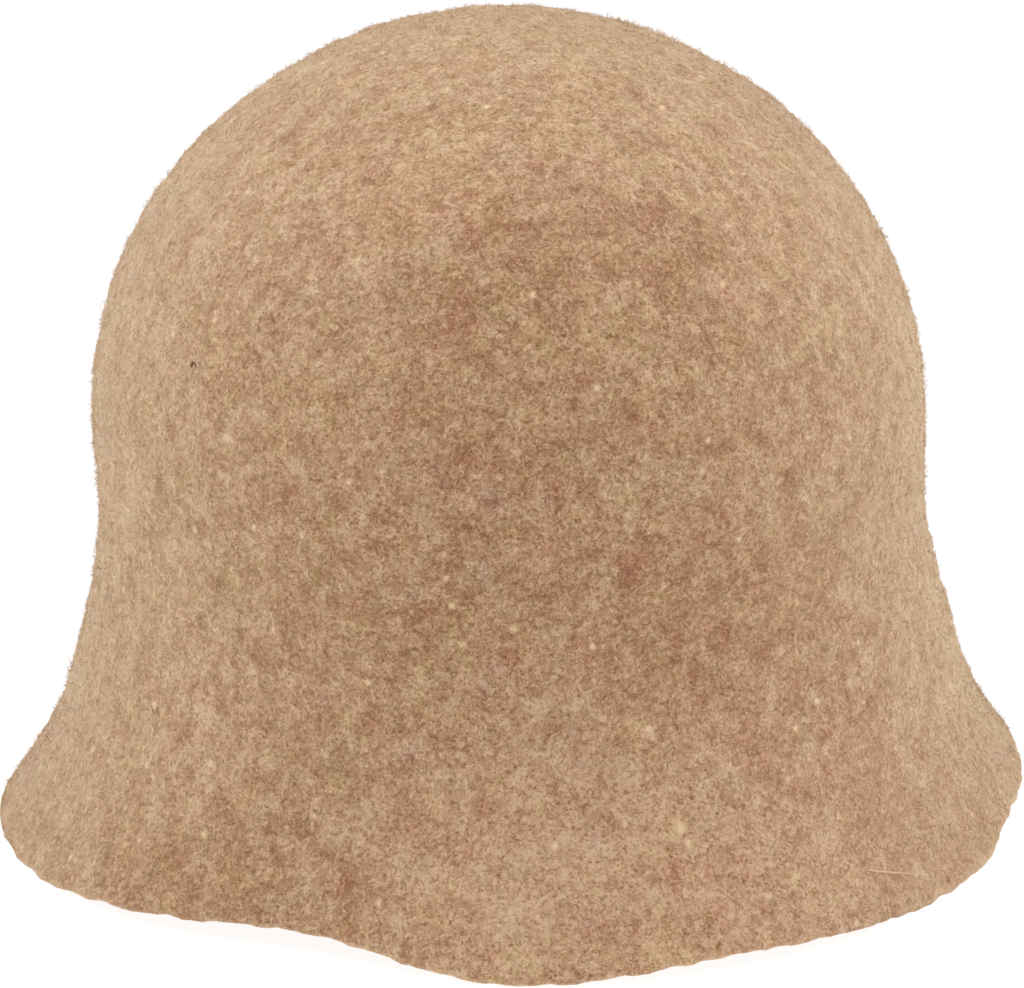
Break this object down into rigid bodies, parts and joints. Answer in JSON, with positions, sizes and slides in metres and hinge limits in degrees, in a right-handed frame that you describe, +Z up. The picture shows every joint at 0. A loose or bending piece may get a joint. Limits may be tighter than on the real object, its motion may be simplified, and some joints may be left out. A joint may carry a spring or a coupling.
{
  "type": "sauna hat",
  "caption": "Bell-shaped felted wool hat with a round crown, a soft waist and a wavy flared brim, open below.",
  "frame": {"origin": "on the floor below the middle of the hat's outline, as it stands on its brim", "axes": "+Z up through the crown, -Y the front that the wearer faces, +X the side whose brim is lifted"},
  "size_m": [0.2404, 0.2426, 0.187],
  "materials": {
    "felt_wool": "wet-felted wool in a heathered camel beige, with a short fuzz of loose fibres"
  },
  "bodies": {
    "root": {"felt_body": "felt_wool"}
  },
  "joints": []
}
